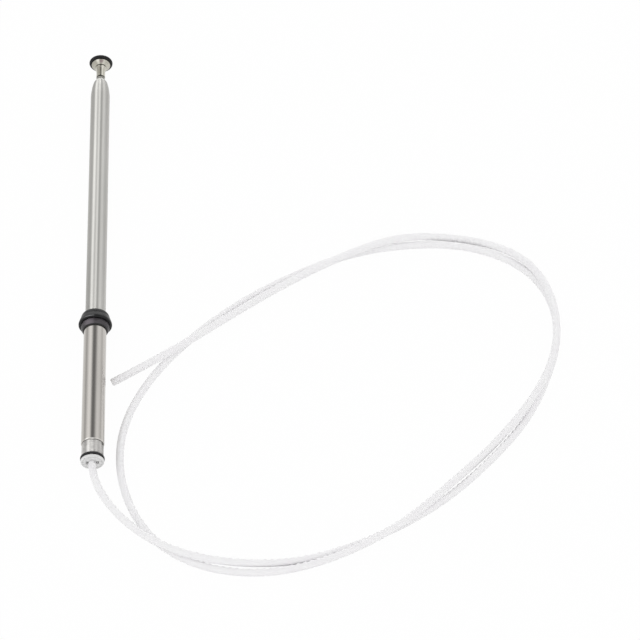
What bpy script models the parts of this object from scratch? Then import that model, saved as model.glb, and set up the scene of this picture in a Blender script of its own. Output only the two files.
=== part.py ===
"""A telescopic antenna mast, collapsed, with its drive cord lying in two loose turns beside it.

The mast lies along Y on the flange of its collar, with the button towards +Y and the foot towards -Y.
Everything turned is drawn upright, along its own Z, and is carried by an empty that lays it along Y.
Heights on the mast are measured from the face of its foot, where the cord comes out.
"""

import math

import bmesh
import bpy
import numpy as np

MM = 0.001

# Clearances
SEAT_GAP = 0.2 * MM
SLIDE_GAP = 0.15 * MM
CRIMP_GAP = 0.06 * MM
CONTACT_GAP = 0.06 * MM
SLEEVE_GAP = 0.25 * MM

# Sections, from the inside out
ROD_RADIUS = 1.6 * MM
CORD_RADIUS = 1.85 * MM
THIN_WALL = 0.3 * MM
OUTER_WALL = 0.4 * MM
SLEEVE_WALL = 0.3 * MM
FOOT_STEP = 0.25 * MM
MIDDLE_FOOT_STEP = 1.45 * MM
CONTACT_SHEET = 0.12 * MM
BROAD_CONTACT_SHEET = 0.2 * MM
EDGE_BREAK = 0.15 * MM

# Lengths along the mast
OUTER_TUBE_LENGTH = 234.4 * MM
MOUTH_LENGTH = 9.2 * MM
THIN_MOUTH_LENGTH = 2.0 * MM
MIDDLE_TIP_PROUD = 1.1 * MM
INNER_TIP_PROUD = 2.2 * MM
SLEEVE_LENGTH = 75.1 * MM
SLEEVE_END_GAP = 0.12 * MM

# Foot of the mast
BUSH_FLANGE_THICKNESS = 1.3 * MM
BUSH_FLANGE_RADIUS = 5.6 * MM
BUSH_PLUG_RADIUS = 3.4 * MM
BUSH_PLUG_LENGTH = 6.5 * MM
BUSH_FACE_GROOVE_RADIUS = 4.7 * MM
BUSH_FACE_GROOVE_WIDTH = 0.5 * MM
BUSH_FACE_GROOVE_DEPTH = 0.3 * MM
SLOT_LENGTH = 6.3 * MM
SLOT_WIDTH = 2.4 * MM
SLOT_DEPTH = 1.6 * MM
GASKET_THICKNESS = 1.4 * MM
GASKET_PROUD = 0.2 * MM
FERRULE_PROUD = 0.2 * MM
FERRULE_LENGTH = 7.0 * MM
FERRULE_GROOVE_HEIGHT = 4.0 * MM
FERRULE_GROOVE_WIDTH = 0.9 * MM
FERRULE_GROOVE_DEPTH = 0.2 * MM
SPIGOT_LENGTH = 5.0 * MM

# Feet of the sections, their contact springs and the cord's anchor
MIDDLE_FOOT_LENGTH = 6.0 * MM
MIDDLE_FOOT_LIP = 1.5 * MM
INNER_FOOT_LENGTH = 4.0 * MM
INNER_FOOT_LIP = 1.0 * MM
ROD_FOOT_LENGTH = 4.0 * MM
ROD_FOOT_LIP = 0.8 * MM
MIDDLE_CONTACT_LENGTH = 10.0 * MM
INNER_CONTACT_LENGTH = 7.0 * MM
ROD_CONTACT_LENGTH = 6.0 * MM
CONTACT_END_BAND = 1.0 * MM
CONTACT_SLIT = 0.5 * MM
CONTACT_SLIT_SHARE = 0.9
ANCHOR_LENGTH = 5.0 * MM
ANCHOR_GROOVE_WIDTH = 0.8 * MM
ANCHOR_GROOVE_DEPTH = 0.25 * MM

# Collar, its seal and the flared end of the sleeve inside it
FLARE_STEP = 0.7 * MM
FLARE_LENGTH = 1.0 * MM
FLARE_CYLINDER = 3.4 * MM
COLLAR_SKIRT = 0.1 * MM
COLLAR_WALL = 0.45 * MM
COLLAR_TOP_LIP = 0.8 * MM
WIPER_THICKNESS = 1.2 * MM
SEAL_HEIGHT = 3.8 * MM
SEAL_SEAT_DEPTH = 0.3 * MM
SEAL_LIP_THICKNESS = 0.3 * MM
FLANGE_REACH = 1.5 * MM

# Button
BUTTON_GAP = 0.95 * MM
STEM_WALL = 0.65 * MM
STEM_LENGTH = 7.85 * MM
STEM_SOCKET = 6.0 * MM
STEM_FLARE = 0.57 * MM
STEM_FLARE_LENGTH = 3.2 * MM
STEM_NECK_DEPTH = 0.35 * MM
STEM_NECK_HEIGHT = 0.3 * MM
STEM_CONE_HEIGHT = 2.0 * MM
STEM_CONE_RADIUS = 5.3 * MM
STEM_RIM_HEIGHT = 0.3 * MM
STEM_SPIGOT_HEIGHT = 1.2 * MM
CAP_OVERHANG = 0.9 * MM
CAP_RIM_HEIGHT = 2.1 * MM
CAP_DOME_HEIGHT = 1.1 * MM

# Outlines given as shares: how far in or out first, then how high

# From the wall of the collar's top out to its flange, and from its seat up to its top
COLLAR_OUTLINE = [
    (-0.67, 1.0),
    (-0.44, 0.97),
    (-0.05, 0.9),
    (0.15, 0.78),
    (0.31, 0.62),
    (0.34, 0.55),
    (0.49, 0.42),
    (0.78, 0.28),
    (1.0, 0.15),
    (0.95, 0.05),
    (0.76, 0.0),
]

# From the seal's lip out to the collar's wall, and from its lower edge up to its top
SEAL_OUTLINE = [
    (1.18, 1.0),
    (1.28, 0.94),
    (1.28, 0.55),
    (1.13, 0.46),
    (0.46, 0.13),
]

# From a tube's mouth out to its full radius, and from where it starts to narrow up to its rim
MOUTH_WAIST = (0.58, 0.6)

# The crimp grooves of the anchor, up its length
ANCHOR_GROOVES = [0.68, 0.32]

ROUND_SIDES = 32
FINE_SIDES = 24
BROAD_SIDES = 40
EDGE_STEPS = 3
ROUND_EDGE_STEPS = 6
DOME_STEPS = 5
BOW_STEPS = 4
CONTACT_FINGERS = 6
CREASE_ANGLE = math.radians(35)
MERGE_DISTANCE = 0.01 * MM
EMPTY_SIZE = 10 * MM

# The cord's tube: how many points its line has, how fine its round is, and how finely its route is read
CORD_POINTS = 80
CORD_ROUNDNESS = 2
CORD_READINGS = 1600

# The cord's own points, in millimetres from the centre of the foot's face across X and Y, and above the
# floor in Z. The first turn runs to the point at the far left, the second lies beside and over it.
CORD_ROUTE = [
    (12.5, -28.4, 6.95),
    (37.5, -47.9, 6.35),
    (72.0, -54.9, 3.2),
    (94.0, -53.9, 2.1),
    (129.0, -43.4, 1.85),
    (164.5, -22.9, 1.85),
    (191.0, 1.6, 1.85),
    (208.5, 23.6, 1.85),
    (219.0, 44.6, 1.85),
    (227.5, 82.1, 1.85),
    (218.0, 109.6, 1.85),
    (187.0, 129.1, 1.85),
    (158.5, 131.6, 1.85),
    (129.5, 127.1, 1.85),
    (103.5, 116.6, 1.85),
    (71.5, 97.6, 1.85),
    (47.5, 77.1, 1.85),
    (28.5, 54.6, 1.85),
    (13.5, 19.6, 1.85),
    (13.5, -5.4, 1.85),
    (32.5, -43.2, 1.85),
    (56.0, -56.4, 1.85),
    (88.0, -58.9, 2.3),
    (121.5, -49.9, 5.05),
    (145.0, -36.9, 6.45),
    (169.0, -15.4, 5.25),
    (183.0, -0.4, 2.2),
    (210.0, 29.6, 6.25),
    (225.5, 64.1, 6.15),
    (220.0, 108.6, 6.25),
    (210.0, 121.6, 4.7),
    (178.5, 135.6, 2.0),
    (157.0, 134.1, 5.25),
    (122.5, 122.1, 5.75),
    (79.0, 98.1, 3.1),
    (61.0, 84.6, 4.0),
    (35.5, 64.6, 6.75),
    (8.0, 51.1, 1.85),
]

# Radii that follow from the sections
INNER_BORE = max(CORD_RADIUS, ROD_RADIUS + FOOT_STEP) + SLIDE_GAP
INNER_RADIUS = INNER_BORE + THIN_WALL
MIDDLE_BORE = INNER_RADIUS + FOOT_STEP + SLIDE_GAP
MIDDLE_RADIUS = MIDDLE_BORE + THIN_WALL
OUTER_BORE = MIDDLE_RADIUS + MIDDLE_FOOT_STEP + SLIDE_GAP
OUTER_RADIUS = OUTER_BORE + OUTER_WALL
SLEEVE_BORE = OUTER_RADIUS + SLEEVE_GAP
SLEEVE_RADIUS = SLEEVE_BORE + SLEEVE_WALL
CORD_BORE = CORD_RADIUS + SLIDE_GAP
SLEEVE_END_BORE = OUTER_RADIUS + SLEEVE_END_GAP
FLARE_BORE = SLEEVE_BORE + FLARE_STEP
FLARE_RADIUS = FLARE_BORE + SLEEVE_WALL
COLLAR_BORE = FLARE_RADIUS + CRIMP_GAP
COLLAR_TOP_RADIUS = COLLAR_BORE + COLLAR_WALL
FLANGE_RADIUS = COLLAR_TOP_RADIUS + FLANGE_REACH
SEAL_BORE = SLEEVE_RADIUS + CRIMP_GAP
SEAL_LIP_RADIUS = SEAL_BORE + SEAL_LIP_THICKNESS
SEAL_REACH = COLLAR_TOP_RADIUS - SEAL_LIP_RADIUS
SEAL_SEAT_RADIUS = SEAL_LIP_RADIUS + SEAL_REACH * max(out for out, up in SEAL_OUTLINE) + CRIMP_GAP
STEM_RADIUS = ROD_RADIUS + CRIMP_GAP + STEM_WALL
CAP_RADIUS = STEM_CONE_RADIUS + CAP_OVERHANG
FERRULE_RADIUS = OUTER_RADIUS + FERRULE_PROUD
FERRULE_BORE = BUSH_PLUG_RADIUS + SLIDE_GAP
GASKET_RADIUS = max(BUSH_FLANGE_RADIUS, FERRULE_RADIUS) + GASKET_PROUD

# Heights that follow, from the face of the foot
GASKET_BOTTOM = BUSH_FLANGE_THICKNESS + SEAT_GAP
FERRULE_BOTTOM = GASKET_BOTTOM + GASKET_THICKNESS + SEAT_GAP
FERRULE_SHOULDER = FERRULE_BOTTOM + FERRULE_LENGTH
SPIGOT_TOP = FERRULE_SHOULDER + SPIGOT_LENGTH
OUTER_TUBE_BOTTOM = FERRULE_SHOULDER + SEAT_GAP
OUTER_TUBE_TOP = OUTER_TUBE_BOTTOM + OUTER_TUBE_LENGTH
SLEEVE_BOTTOM = FERRULE_SHOULDER + SEAT_GAP
SLEEVE_TOP = SLEEVE_BOTTOM + SLEEVE_LENGTH
WIPER_BOTTOM = SLEEVE_TOP + SEAT_GAP
COLLAR_TOP = WIPER_BOTTOM + WIPER_THICKNESS + SEAT_GAP + COLLAR_TOP_LIP
FLARE_BOTTOM = SLEEVE_TOP - FLARE_CYLINDER - FLARE_LENGTH
COLLAR_BOTTOM = FLARE_BOTTOM + COLLAR_SKIRT
COLLAR_HEIGHT = COLLAR_TOP - COLLAR_BOTTOM
SEAL_SEAT = COLLAR_BOTTOM + SEAL_SEAT_DEPTH
SEAL_TOP = SEAL_SEAT - SEAT_GAP
MIDDLE_FOOT_BOTTOM = SPIGOT_TOP + SEAT_GAP
MIDDLE_TUBE_BOTTOM = MIDDLE_FOOT_BOTTOM + MIDDLE_FOOT_LIP + SEAT_GAP
MIDDLE_TUBE_TOP = OUTER_TUBE_TOP + MIDDLE_TIP_PROUD
MIDDLE_CONTACT_BOTTOM = MIDDLE_FOOT_BOTTOM + MIDDLE_FOOT_LENGTH + SEAT_GAP
INNER_FOOT_BOTTOM = MIDDLE_TUBE_BOTTOM
INNER_TUBE_BOTTOM = INNER_FOOT_BOTTOM + INNER_FOOT_LIP + SEAT_GAP
INNER_TUBE_TOP = OUTER_TUBE_TOP + INNER_TIP_PROUD
INNER_CONTACT_BOTTOM = INNER_FOOT_BOTTOM + INNER_FOOT_LENGTH + SEAT_GAP
CORD_TOP = INNER_CONTACT_BOTTOM
ANCHOR_BOTTOM = CORD_TOP + SEAT_GAP
ROD_FOOT_BOTTOM = ANCHOR_BOTTOM + ANCHOR_LENGTH + SEAT_GAP
ROD_BOTTOM = ROD_FOOT_BOTTOM + ROD_FOOT_LIP + SEAT_GAP
ROD_CONTACT_BOTTOM = ROD_FOOT_BOTTOM + ROD_FOOT_LENGTH + SEAT_GAP
STEM_BOTTOM = INNER_TUBE_TOP + BUTTON_GAP
ROD_TOP = STEM_BOTTOM + STEM_SOCKET - SEAT_GAP
STEM_CONE_BOTTOM = STEM_BOTTOM + STEM_LENGTH
STEM_CONE_TOP = STEM_CONE_BOTTOM + STEM_CONE_HEIGHT
CAP_BOTTOM = STEM_CONE_TOP + STEM_RIM_HEIGHT + SEAT_GAP
CAP_RIM_TOP = CAP_BOTTOM + CAP_RIM_HEIGHT
MAST_LENGTH = CAP_RIM_TOP + CAP_DOME_HEIGHT

# The mast lies on its flange, with the middle of its length over the origin
AXIS_HEIGHT = FLANGE_RADIUS
FOOT_Y = -MAST_LENGTH / 2


def remove_objects():
    for obj in list(bpy.data.objects):
        bpy.data.objects.remove(obj, do_unlink=True)


def new_collection(name):
    collection = bpy.data.collections.new(name)
    bpy.context.scene.collection.children.link(collection)
    return collection


def new_material(name, colour, roughness, metallic):
    material = bpy.data.materials.new(name)
    material.use_nodes = True
    shader = material.node_tree.nodes["Principled BSDF"]
    shader.inputs["Base Color"].default_value = (*colour, 1.0)
    shader.inputs["Roughness"].default_value = roughness
    shader.inputs["Metallic"].default_value = metallic
    material.diffuse_color = (*colour, 1.0)
    return material


def new_empty(name, parent, height=0.0):
    """An empty on the mast's axis, at a height above the face of the foot."""
    empty = bpy.data.objects.new(name, None)
    empty.empty_display_size = EMPTY_SIZE
    parts.objects.link(empty)
    empty.parent = parent
    empty.location = (0, 0, height)
    empty["height"] = height + (parent["height"] if parent else 0.0)
    return empty


def arc(centre_radius, centre_height, radius, start, end, steps):
    """Points of a profile on an arc, its angles in degrees from +X towards +Z."""
    points = []
    for i in range(steps + 1):
        angle = math.radians(start + (end - start) * i / steps)
        points.append((centre_radius + radius * math.cos(angle), centre_height + radius * math.sin(angle)))
    return points


def place(obj, carrier):
    """Puts a piece drawn from the foot's face on its carrier, which may sit further up the mast."""
    obj.parent = carrier
    obj.location = (0, 0, -carrier["height"])


def settle(obj):
    """Turns a piece's modifiers into its mesh and shades it as a turned piece."""
    bpy.context.view_layer.update()
    evaluated = obj.evaluated_get(bpy.context.evaluated_depsgraph_get())
    mesh = bpy.data.meshes.new_from_object(evaluated)
    mesh.name = obj.name
    obj.modifiers.clear()
    obj.data = mesh
    mesh.shade_smooth()
    mesh.set_sharp_from_angle(angle=CREASE_ANGLE)


def turned(name, profile, carrier, material, sides=ROUND_SIDES, closed=True):
    """A piece of revolution. Its profile of radii and heights runs down its outer side.

    A closed profile makes a ring. An open one starts and ends on the axis.
    """
    mesh = bpy.data.meshes.new(name)
    count = len(profile)
    edges = [(i, i + 1) for i in range(count - 1)]
    if closed:
        edges.append((count - 1, 0))
    mesh.from_pydata([(radius, 0.0, height) for radius, height in profile], edges, [])
    obj = bpy.data.objects.new(name, mesh)
    parts.objects.link(obj)
    screw = obj.modifiers.new("Turn", "SCREW")
    screw.steps = sides
    screw.render_steps = sides
    screw.use_merge_vertices = True
    screw.merge_threshold = MERGE_DISTANCE
    obj.data.materials.append(material)
    settle(obj)
    place(obj, carrier)
    return obj


def box_cutter(name, carrier, boxes):
    """One cutter of separate boxes, each given as its centre, its size and its turn about the axis."""
    work = bmesh.new()
    for centre, size, turn in boxes:
        made = bmesh.ops.create_cube(work, size=1.0)["verts"]
        bmesh.ops.scale(work, vec=size, verts=made)
        bmesh.ops.translate(work, vec=centre, verts=made)
        for vert in made:
            x, y, height = vert.co
            vert.co = (
                x * math.cos(turn) - y * math.sin(turn),
                x * math.sin(turn) + y * math.cos(turn),
                height,
            )
    mesh = bpy.data.meshes.new(name)
    work.to_mesh(mesh)
    work.free()
    obj = bpy.data.objects.new(name, mesh)
    cutters.objects.link(obj)
    obj.hide_render = True
    obj.display_type = "WIRE"
    place(obj, carrier)
    return obj


def cut(obj, cutter):
    boolean = obj.modifiers.new("Cut", "BOOLEAN")
    boolean.operation = "DIFFERENCE"
    boolean.solver = "EXACT"
    boolean.object = cutter
    settle(obj)


def mouth_profile(top, length, bore, mouth_bore, wall):
    """The upper end of a tube swaged in to a mouth: outer points downwards, and inner points upwards."""
    waist_share, waist_height = MOUTH_WAIST
    full = top - length
    waist = full + length * waist_height
    waist_bore = mouth_bore + (bore - mouth_bore) * waist_share
    lip = wall / 2
    outer = [
        (mouth_bore + lip, top),
        (mouth_bore + wall, top - lip),
        (waist_bore + wall, waist),
        (bore + wall, full),
    ]
    inner = [
        (bore, full - wall),
        (waist_bore, waist - wall),
        (mouth_bore, top - 2 * wall),
        (mouth_bore, top),
    ]
    return outer, inner


def swaged_tube(name, bottom, top, bore, wall, mouth_bore, mouth_length, carrier, material, sides=ROUND_SIDES):
    outer, inner = mouth_profile(top, mouth_length, bore, mouth_bore, wall)
    profile = outer + [(bore + wall, bottom), (bore, bottom)] + inner
    return turned(name, profile, carrier, material, sides)


def foot_bush(name, bottom, length, lip, lip_bore, tube_radius, radius, carrier, material, sides):
    """A bush crimped round the lower end of a tube, which stands on the bush's inner lip."""
    top = bottom + length
    chamfer = min(EDGE_BREAK, (radius - tube_radius - CRIMP_GAP) / 2)
    profile = [
        (radius - chamfer, top),
        (radius, top - chamfer),
        (radius, bottom + chamfer),
        (radius - chamfer, bottom),
        (lip_bore, bottom),
        (lip_bore, bottom + lip),
        (tube_radius + CRIMP_GAP, bottom + lip),
        (tube_radius + CRIMP_GAP, top),
    ]
    return turned(name, profile, carrier, material, sides)


def contact_spring(name, bottom, length, end_radius, bow_radius, sheet, carrier, material, sides):
    """A slit spring sleeve: two plain bands joined by fingers that bow to meet the wall they run on.

    The radii are of the sheet's inner face. A bow radius under the end radius bows inwards.
    """
    top = bottom + length
    lower_bow = bottom + CONTACT_END_BAND
    upper_bow = top - CONTACT_END_BAND
    line = [(end_radius, top)]
    for i in range(BOW_STEPS + 1):
        share = i / BOW_STEPS
        bow = math.sin(math.pi * share) ** 2
        line.append((end_radius + (bow_radius - end_radius) * bow, upper_bow + (lower_bow - upper_bow) * share))
    line.append((end_radius, bottom))
    profile = [(radius + sheet, height) for radius, height in line] + line[::-1]
    obj = turned(name, profile, carrier, material, sides)
    slit_height = (upper_bow - lower_bow) * CONTACT_SLIT_SHARE
    inside = min(end_radius, bow_radius) - sheet
    outside = max(end_radius, bow_radius) + 2 * sheet
    boxes = []
    for i in range(CONTACT_FINGERS):
        turn = 2 * math.pi * (i + 0.5) / CONTACT_FINGERS
        centre = ((inside + outside) / 2, 0, (upper_bow + lower_bow) / 2)
        boxes.append((centre, (outside - inside, CONTACT_SLIT, slit_height), turn))
    cut(obj, box_cutter(name + "_slits", carrier, boxes))
    return obj


def make_end_bush(carrier, material):
    """The pale bush in the foot: a flanged plug, its face grooved and slotted across the cord's bore."""
    edge = EDGE_BREAK
    groove_out = BUSH_FACE_GROOVE_RADIUS + BUSH_FACE_GROOVE_WIDTH / 2
    groove_in = BUSH_FACE_GROOVE_RADIUS - BUSH_FACE_GROOVE_WIDTH / 2
    top = BUSH_FLANGE_THICKNESS + BUSH_PLUG_LENGTH
    profile = [
        (CORD_BORE, top),
        (BUSH_PLUG_RADIUS - edge, top),
        (BUSH_PLUG_RADIUS, top - edge),
        (BUSH_PLUG_RADIUS, BUSH_FLANGE_THICKNESS),
        (BUSH_FLANGE_RADIUS, BUSH_FLANGE_THICKNESS),
    ]
    profile += arc(BUSH_FLANGE_RADIUS - edge, edge, edge, 0, -90, EDGE_STEPS)
    profile += [
        (groove_out, 0.0),
        (groove_out, BUSH_FACE_GROOVE_DEPTH),
        (groove_in, BUSH_FACE_GROOVE_DEPTH),
        (groove_in, 0.0),
        (CORD_BORE, 0.0),
    ]
    bush = turned("end_bush", profile, carrier, material)
    slot = ((0, 0, 0), (SLOT_LENGTH, SLOT_WIDTH, 2 * SLOT_DEPTH), 0.0)
    cut(bush, box_cutter("end_bush_slot", carrier, [slot]))


def make_gasket(carrier, material):
    """The black ring squeezed between the bush's flange and the ferrule."""
    half = GASKET_THICKNESS / 2
    middle = GASKET_BOTTOM + half
    profile = arc(GASKET_RADIUS - half, middle, half, 90, -90, ROUND_EDGE_STEPS)
    profile += [
        (BUSH_PLUG_RADIUS + SLIDE_GAP, GASKET_BOTTOM),
        (BUSH_PLUG_RADIUS + SLIDE_GAP, GASKET_BOTTOM + GASKET_THICKNESS),
    ]
    turned("gasket_ring", profile, carrier, material)


def make_ferrule(carrier, material):
    """The turned end piece: a grooved barrel as wide as the outer tube and a spigot inside it."""
    chamfer = EDGE_BREAK
    groove_top = FERRULE_BOTTOM + FERRULE_GROOVE_HEIGHT + FERRULE_GROOVE_WIDTH
    groove_bottom = FERRULE_BOTTOM + FERRULE_GROOVE_HEIGHT
    spigot_radius = OUTER_BORE - CRIMP_GAP
    profile = [
        (spigot_radius - chamfer, SPIGOT_TOP),
        (spigot_radius, SPIGOT_TOP - chamfer),
        (spigot_radius, FERRULE_SHOULDER),
        (FERRULE_RADIUS - chamfer, FERRULE_SHOULDER),
        (FERRULE_RADIUS, FERRULE_SHOULDER - chamfer),
        (FERRULE_RADIUS, groove_top),
        (FERRULE_RADIUS - FERRULE_GROOVE_DEPTH, groove_top - FERRULE_GROOVE_DEPTH),
        (FERRULE_RADIUS - FERRULE_GROOVE_DEPTH, groove_bottom + FERRULE_GROOVE_DEPTH),
        (FERRULE_RADIUS, groove_bottom),
        (FERRULE_RADIUS, FERRULE_BOTTOM + chamfer),
        (FERRULE_RADIUS - chamfer, FERRULE_BOTTOM),
        (FERRULE_BORE, FERRULE_BOTTOM),
        (FERRULE_BORE, SPIGOT_TOP),
    ]
    turned("ferrule", profile, carrier, material)


def make_sleeve(carrier, material):
    """The wide tube that slides on the outer tube: flared at the top to fill the collar, rolled in below.

    The rolled-in end is narrower than the ferrule, and stops the sleeve there.
    """
    flare_top = FLARE_BOTTOM + FLARE_LENGTH
    profile = [
        (FLARE_RADIUS, SLEEVE_TOP),
        (FLARE_RADIUS, flare_top),
        (SLEEVE_RADIUS, FLARE_BOTTOM),
        (SLEEVE_RADIUS, SLEEVE_BOTTOM + EDGE_BREAK),
        (SLEEVE_RADIUS - EDGE_BREAK, SLEEVE_BOTTOM),
        (SLEEVE_END_BORE, SLEEVE_BOTTOM),
        (SLEEVE_END_BORE, SLEEVE_BOTTOM + SLEEVE_WALL),
        (SLEEVE_BORE, SLEEVE_BOTTOM + 2 * SLEEVE_WALL),
        (SLEEVE_BORE, FLARE_BOTTOM),
        (FLARE_BORE, flare_top),
        (FLARE_BORE, SLEEVE_TOP),
    ]
    turned("sleeve_tube", profile, carrier, material)


def make_collar(carrier, material):
    """The black collar: a domed cap over the flared sleeve, and a flange recessed below for the seal."""
    profile = []
    for out, up in COLLAR_OUTLINE:
        profile.append((COLLAR_TOP_RADIUS + FLANGE_REACH * out, COLLAR_BOTTOM + COLLAR_HEIGHT * up))
    profile += [
        (SEAL_SEAT_RADIUS, COLLAR_BOTTOM),
        (SEAL_SEAT_RADIUS, SEAL_SEAT),
        (COLLAR_BORE, SEAL_SEAT),
        (COLLAR_BORE, COLLAR_TOP - COLLAR_TOP_LIP),
        (SLEEVE_BORE, COLLAR_TOP - COLLAR_TOP_LIP),
        (SLEEVE_BORE, COLLAR_TOP),
    ]
    turned("collar", profile, carrier, material, BROAD_SIDES)


def make_collar_seal(carrier, material):
    """The soft ring under the collar, its lip drawn in to hug the sleeve."""
    bottom = SEAL_TOP - SEAL_HEIGHT
    profile = []
    for out, up in SEAL_OUTLINE:
        profile.append((SEAL_LIP_RADIUS + SEAL_REACH * out, bottom + SEAL_HEIGHT * up))
    profile += [
        (SEAL_LIP_RADIUS, bottom),
        (SEAL_BORE, bottom),
        (SEAL_BORE, SEAL_TOP - SEAL_SEAT_DEPTH),
        (SEAL_BORE + SEAL_SEAT_DEPTH, SEAL_TOP),
    ]
    turned("collar_seal", profile, carrier, material, BROAD_SIDES)


def make_wiper(carrier, material):
    """The seal at the top of the collar's bore that wipes the outer tube."""
    middle = WIPER_BOTTOM + WIPER_THICKNESS / 2
    profile = [
        (COLLAR_BORE - CRIMP_GAP, WIPER_BOTTOM + WIPER_THICKNESS),
        (COLLAR_BORE - CRIMP_GAP, WIPER_BOTTOM),
        (OUTER_RADIUS + 3 * CONTACT_GAP, WIPER_BOTTOM),
        (OUTER_RADIUS + CONTACT_GAP, middle),
        (OUTER_RADIUS + 3 * CONTACT_GAP, WIPER_BOTTOM + WIPER_THICKNESS),
    ]
    turned("wiper_ring", profile, carrier, material)


def make_rod(carrier, material):
    """The thinnest section, a solid rod held in the button's stem."""
    chamfer = EDGE_BREAK
    profile = [
        (0.0, ROD_TOP),
        (ROD_RADIUS - chamfer, ROD_TOP),
        (ROD_RADIUS, ROD_TOP - chamfer),
        (ROD_RADIUS, ROD_BOTTOM + chamfer),
        (ROD_RADIUS - chamfer, ROD_BOTTOM),
        (0.0, ROD_BOTTOM),
    ]
    turned("tip_rod", profile, carrier, material, FINE_SIDES, closed=False)


def make_rod_foot(carrier, material):
    """The cup crimped on the rod's lower end, which stops it at the mouth of the inner tube."""
    top = ROD_FOOT_BOTTOM + ROD_FOOT_LENGTH
    radius = ROD_RADIUS + FOOT_STEP
    profile = [
        (0.0, ROD_FOOT_BOTTOM + ROD_FOOT_LIP),
        (ROD_RADIUS + CRIMP_GAP, ROD_FOOT_BOTTOM + ROD_FOOT_LIP),
        (ROD_RADIUS + CRIMP_GAP, top),
        (radius, top),
        (radius, ROD_FOOT_BOTTOM),
        (0.0, ROD_FOOT_BOTTOM),
    ]
    turned("rod_foot", profile, carrier, material, FINE_SIDES, closed=False)


def make_anchor(carrier, material):
    """The crimped stud that joins the cord to the rod, with two crimp grooves."""
    top = ANCHOR_BOTTOM + ANCHOR_LENGTH
    radius = ROD_RADIUS + FOOT_STEP
    profile = [(0.0, top), (radius, top)]
    for share in ANCHOR_GROOVES:
        middle = ANCHOR_BOTTOM + ANCHOR_LENGTH * share
        profile += [
            (radius, middle + ANCHOR_GROOVE_WIDTH / 2),
            (radius - ANCHOR_GROOVE_DEPTH, middle + ANCHOR_GROOVE_WIDTH / 4),
            (radius - ANCHOR_GROOVE_DEPTH, middle - ANCHOR_GROOVE_WIDTH / 4),
            (radius, middle - ANCHOR_GROOVE_WIDTH / 2),
        ]
    profile += [(radius, ANCHOR_BOTTOM), (0.0, ANCHOR_BOTTOM)]
    turned("cord_anchor", profile, carrier, material, FINE_SIDES, closed=False)


def make_stem(carrier, material):
    """The button's bright underside: a stem over the rod, a neck, a cone, and a spigot for the cap."""
    bore = ROD_RADIUS + CRIMP_GAP
    neck = STEM_RADIUS + STEM_FLARE - STEM_NECK_DEPTH
    rim_top = STEM_CONE_TOP + STEM_RIM_HEIGHT
    profile = [
        (0.0, rim_top + STEM_SPIGOT_HEIGHT),
        (STEM_RADIUS, rim_top + STEM_SPIGOT_HEIGHT),
        (STEM_RADIUS, rim_top),
        (STEM_CONE_RADIUS - EDGE_BREAK, rim_top),
        (STEM_CONE_RADIUS, rim_top - EDGE_BREAK),
        (STEM_CONE_RADIUS, STEM_CONE_TOP),
        (neck + STEM_NECK_HEIGHT, STEM_CONE_BOTTOM + STEM_NECK_HEIGHT),
        (neck, STEM_CONE_BOTTOM + STEM_NECK_HEIGHT),
        (neck, STEM_CONE_BOTTOM),
        (STEM_RADIUS + STEM_FLARE, STEM_CONE_BOTTOM),
        (STEM_RADIUS, STEM_CONE_BOTTOM - STEM_FLARE_LENGTH),
        (STEM_RADIUS, STEM_BOTTOM + EDGE_BREAK),
        (STEM_RADIUS - EDGE_BREAK, STEM_BOTTOM),
        (bore, STEM_BOTTOM),
        (bore, STEM_BOTTOM + STEM_SOCKET),
        (0.0, STEM_BOTTOM + STEM_SOCKET),
    ]
    turned("cap_stem", profile, carrier, material, closed=False)


def make_cap(carrier, material):
    """The black button: a rounded rim round the cone's edge, under a low dome."""
    half = CAP_RIM_HEIGHT / 2
    socket = STEM_RADIUS + CRIMP_GAP
    socket_top = CAP_BOTTOM + STEM_SPIGOT_HEIGHT
    rim_radius = CAP_RADIUS - half
    profile = []
    for i in range(DOME_STEPS):
        share = i / DOME_STEPS
        profile.append((rim_radius * share, CAP_RIM_TOP + CAP_DOME_HEIGHT * (1 - share * share)))
    profile += arc(rim_radius, CAP_BOTTOM + half, half, 90, -90, ROUND_EDGE_STEPS)
    profile += [
        (socket, CAP_BOTTOM),
        (socket, socket_top),
        (0.0, socket_top),
    ]
    turned("cap", profile, carrier, material, BROAD_SIDES, closed=False)


def smooth_curve(points, start_direction, count):
    """Points evenly spaced along a cubic spline that leaves its first point in the given direction."""
    knots = np.array(points)
    steps = np.linalg.norm(np.diff(knots, axis=0), axis=1)
    slopes = np.diff(knots, axis=0) / steps[:, None]
    at = np.concatenate([[0.0], np.cumsum(steps)])
    size = len(knots)
    system = np.zeros((size, size))
    right = np.zeros((size, 3))
    system[0, 0] = 2 * steps[0]
    system[0, 1] = steps[0]
    right[0] = 6 * (slopes[0] - np.array(start_direction))
    system[-1, -1] = 1.0
    for i in range(1, size - 1):
        system[i, i - 1] = steps[i - 1]
        system[i, i] = 2 * (steps[i - 1] + steps[i])
        system[i, i + 1] = steps[i]
        right[i] = 6 * (slopes[i] - slopes[i - 1])
    bend = np.linalg.solve(system, right)

    def sample(where):
        span = np.clip(np.searchsorted(at, where, side="right") - 1, 0, size - 2)
        step = steps[span][:, None]
        after = (where - at[span])[:, None]
        before = step - after
        curve = bend[span] * before**3 / (6 * step) + bend[span + 1] * after**3 / (6 * step)
        curve += (knots[span] / step - bend[span] * step / 6) * before
        curve += (knots[span + 1] / step - bend[span + 1] * step / 6) * after
        return curve

    dense = sample(np.linspace(0.0, at[-1], CORD_READINGS))
    run = np.concatenate([[0.0], np.cumsum(np.linalg.norm(np.diff(dense, axis=0), axis=1))])
    wanted = np.linspace(0.0, run[-1], count)
    return np.stack([np.interp(wanted, run, dense[:, k]) for k in range(3)], axis=1)


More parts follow.
